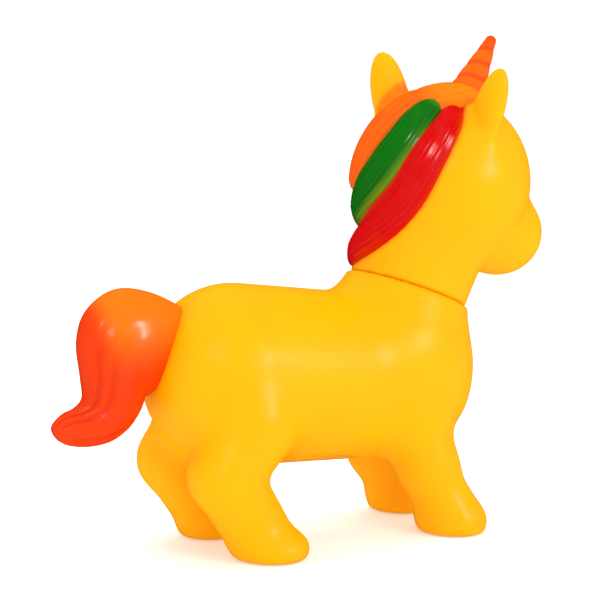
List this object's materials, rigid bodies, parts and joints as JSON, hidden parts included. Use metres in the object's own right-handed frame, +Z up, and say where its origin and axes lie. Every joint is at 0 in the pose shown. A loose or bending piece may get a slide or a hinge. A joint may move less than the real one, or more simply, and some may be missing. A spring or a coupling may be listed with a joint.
{
  "type": "toy unicorn party figure",
  "caption": "Hollow glossy vinyl unicorn party figure with a turning head, painted mane, horn and tail, and a pull-out belly stopper.",
  "frame": {"origin": "on the ground, under the centre of the figure's box as it is stored, with the head turned 22 degrees to the left", "axes": "+X forwards along the body, +Y to the animal's left, +Z up; the body's middle plane is at y = -2 mm"},
  "size_m": [0.2113, 0.0787, 0.1893],
  "materials": {
    "yellow_vinyl": "glossy soft vinyl, moulded in yellow",
    "orange_paint": "glossy air-brushed orange paint",
    "green_paint": "glossy air-brushed green paint",
    "red_paint": "glossy air-brushed red paint",
    "eye_paint": "glossy printed black",
    "stopper_plastic": "satin yellow moulded plastic"
  },
  "bodies": {
    "body": {"body_shell": "yellow_vinyl", "tail": "orange_paint"},
    "head": {"head_shell": "yellow_vinyl", "horn": "orange_paint", "forelock": "orange_paint", "mane_orange_lock": "orange_paint", "mane_green_lock": "green_paint", "mane_red_lock": "red_paint", "ear_left": "yellow_vinyl", "ear_right": "yellow_vinyl", "eye_left": "eye_paint", "eye_right": "eye_paint"},
    "stopper": {"belly_stopper": "stopper_plastic"}
  },
  "joints": [
    {"name": "head_turn", "type": "hinge", "parent": "body", "child": "head", "pos_m": [0.0431, -0.002, 0.091], "axis": [0.3584, 0, 0.9336], "continuous": true},
    {"name": "stopper_pull", "type": "slide", "parent": "body", "child": "stopper", "axis": [0, 0, -1], "range_m": [0, 0.02]}
  ]
}
